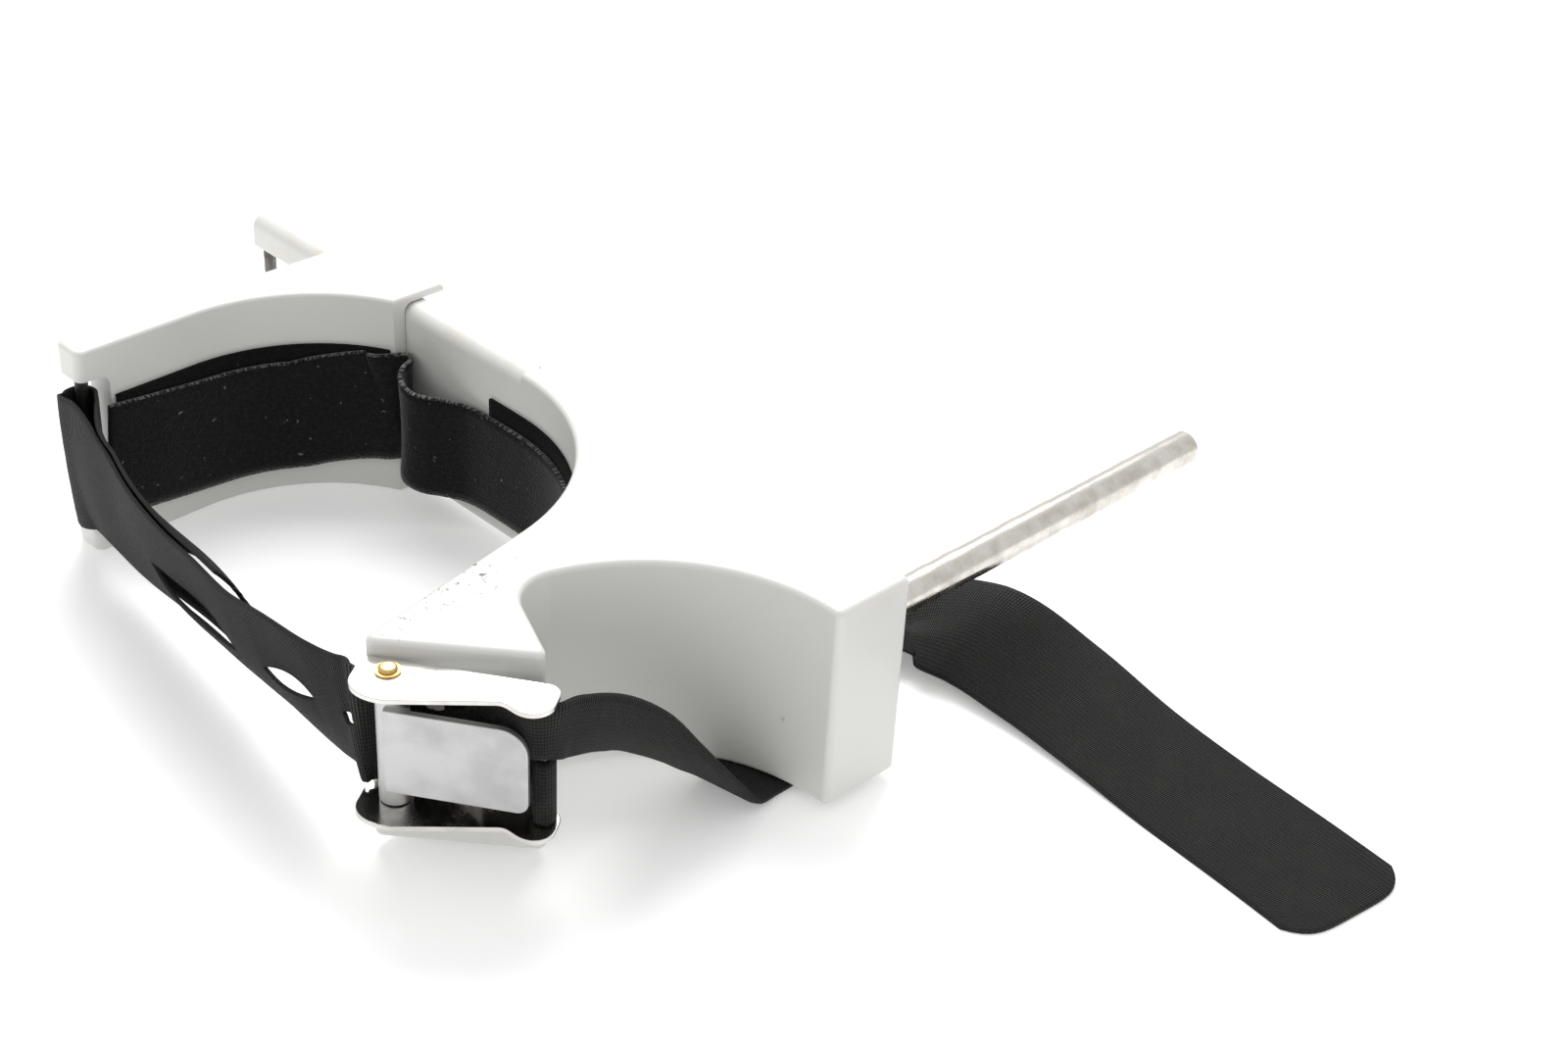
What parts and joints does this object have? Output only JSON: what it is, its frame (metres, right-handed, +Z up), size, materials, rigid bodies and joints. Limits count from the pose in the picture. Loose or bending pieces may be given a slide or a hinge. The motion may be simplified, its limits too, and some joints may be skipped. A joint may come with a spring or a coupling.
{
  "type": "surgical leg holder",
  "caption": "Thigh holder for an operating table: a half ring on a rail, a sliding jaw, a strap with a lever buckle and a round clamping post.",
  "frame": {"origin": "on the support post's axis, where the post leaves the back of the casting, at the casting's mid-height", "axes": "+Y along the post, away from the casting; +X along the rail, from the jaw towards the half ring; +Z up"},
  "size_m": [0.605, 0.4336, 0.1016],
  "materials": {
    "casting_paint": "off-white enamel on cast aluminium",
    "post_steel": "worn nickel plate",
    "dark_steel": "plain",
    "bright_nickel": "bright nickel plate",
    "satin_zinc": "satin zinc plate",
    "brass": "polished",
    "bush_plastic": "plain",
    "strap_webbing": "worn cross-rib webbing",
    "hook_strip": "hook strip",
    "soft_loop": "soft loop pile"
  },
  "bodies": {
    "root": {"fixed_body": "casting_paint", "support_post": "post_steel", "post_lock_screw": "dark_steel", "rail_end_pin": "dark_steel", "buckle_upper_plate": "bright_nickel", "buckle_lower_plate": "bright_nickel", "lever_pin": "brass", "upper_brass_washer": "brass", "lower_brass_washer": "brass", "buckle_rear_bar": "bright_nickel", "anchor_loop": "strap_webbing", "anchor_plate": "dark_steel", "anchor_screws": "dark_steel", "strap_buckle_fold": "strap_webbing", "strap_tail_front": "strap_webbing", "strap_tail_under": "strap_webbing", "strap_tail_back": "strap_webbing", "fixed_hook_pad": "hook_strip", "liner_fixed": "soft_loop", "liner_fold": "soft_loop"},
    "jaw": {"sliding_jaw": "casting_paint", "strap_bar": "dark_steel", "jaw_hook_pad": "hook_strip", "liner_jaw": "soft_loop", "strap_tip_loop": "strap_webbing", "strap_folded_end": "strap_webbing", "strap_main_run": "strap_webbing"},
    "lever": {"cam_lever": "satin_zinc", "lever_bush": "bush_plastic"}
  },
  "joints": [
    {"name": "jaw_slide", "type": "slide", "parent": "root", "child": "jaw", "axis": [1, 0, 0], "range_m": [-0.06, 0.004], "deforming": ["strap_main_run", "liner_fold"]},
    {"name": "lever_hinge", "type": "hinge", "parent": "root", "child": "lever", "pos_m": [-0.04896, -0.18369, 0], "axis": [0, 0, -1], "range_deg": [0, 105]}
  ]
}
